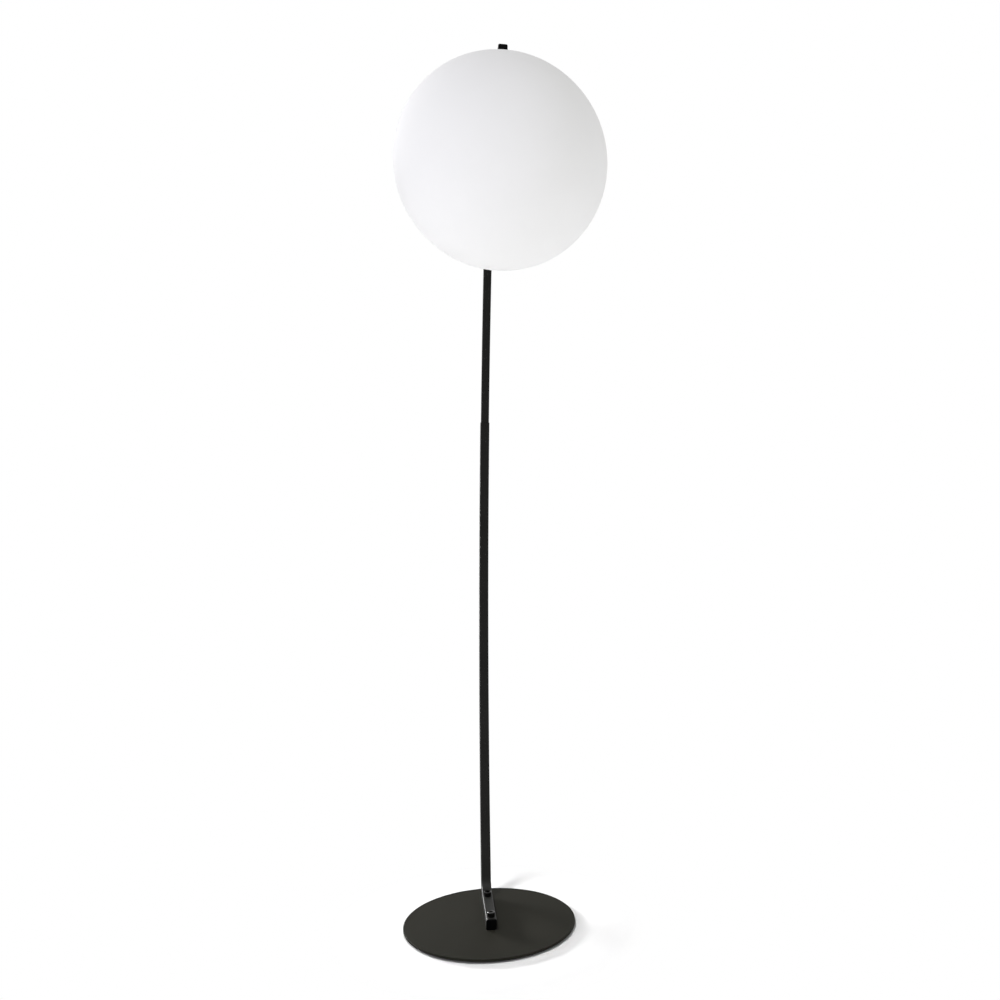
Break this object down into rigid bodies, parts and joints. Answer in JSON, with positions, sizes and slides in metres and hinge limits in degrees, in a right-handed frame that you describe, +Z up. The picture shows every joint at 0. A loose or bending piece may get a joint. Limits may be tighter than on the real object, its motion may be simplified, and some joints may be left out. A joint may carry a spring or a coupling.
{
  "type": "globe floor lamp",
  "caption": "Floor lamp with a round base plate, a bowed post of square tube and a large opal globe hung from the post's arm.",
  "frame": {"origin": "centre of the base disc, on the floor under its foam pad", "axes": "+Z up; the bowed post stands in the plane X = 0 behind the base (+Y), and its arm and the globe come forward (-Y)"},
  "size_m": [0.3599, 0.594, 1.5195],
  "materials": {
    "base_foam": "closed-cell foam, matt",
    "plate_coat": "satin black powder coat",
    "tube_coat": "satin black powder coat",
    "black_plastic": "moulded, fine matt",
    "screw_black": "gloss black",
    "zinc_steel": "zinc plated",
    "nylon_white": "natural nylon",
    "housing_white": "moulded, satin white",
    "board_green": "solder mask",
    "cell_wrap": "shrink wrap",
    "lead_rubber": "insulated wire",
    "spreader_aluminium": "mill finish",
    "led_yellow": "phosphor under silicone",
    "black_rubber": "silicone, matt",
    "globe_opal": "moulded opal, matt white"
  },
  "bodies": {
    "root": {"base_pad": "base_foam", "base_plate": "plate_coat", "lower_tube": "tube_coat", "foot_end_cap": "black_plastic", "foot_screws": "screw_black", "foot_spacers": "zinc_steel", "stop_pin": "tube_coat", "joint_screw": "screw_black", "joint_nut": "zinc_steel", "upper_tube": "tube_coat", "arm_end_cap": "black_plastic", "hanger_nut": "zinc_steel", "hanger_bolt": "zinc_steel", "steel_washer": "zinc_steel", "friction_washer": "nylon_white", "thrust_washer": "nylon_white", "spring_washer": "zinc_steel"},
    "lamp_module": {"module_cap": "black_plastic", "case_screws": "screw_black", "module_housing": "housing_white", "control_board": "board_green", "tact_switch": "black_plastic", "charging_port": "zinc_steel", "battery_cells": "cell_wrap", "battery_holder": "black_plastic", "led_leads": "lead_rubber", "heat_spreader": "spreader_aluminium", "led_board": "housing_white", "led_chips": "led_yellow", "led_diffuser": "globe_opal"},
    "power_button": {"power_button": "black_rubber"},
    "port_cover": {"port_cover": "black_rubber"},
    "globe": {"globe_shell": "globe_opal", "globe_collar": "globe_opal"}
  },
  "joints": [
    {"name": "globe_swivel", "type": "hinge", "parent": "root", "child": "lamp_module", "pos_m": [0, -0.13, 1.49], "axis": [0, 0, 1], "continuous": true},
    {"name": "globe_twist", "type": "hinge", "parent": "lamp_module", "child": "globe", "pos_m": [0, -0.13, 1.475], "axis": [0, 0, 1], "range_deg": [0, 45]},
    {"name": "power_button_press", "type": "slide", "parent": "lamp_module", "child": "power_button", "axis": [0, 0, -1], "range_m": [0, 0.0008], "stiffness_N_per_m": 1500, "springref_m": -0.0002},
    {"name": "port_cover_hinge", "type": "hinge", "parent": "lamp_module", "child": "port_cover", "pos_m": [0.0295, -0.13, 1.49558], "axis": [0, 1, 0], "range_deg": [0, 100]}
  ]
}
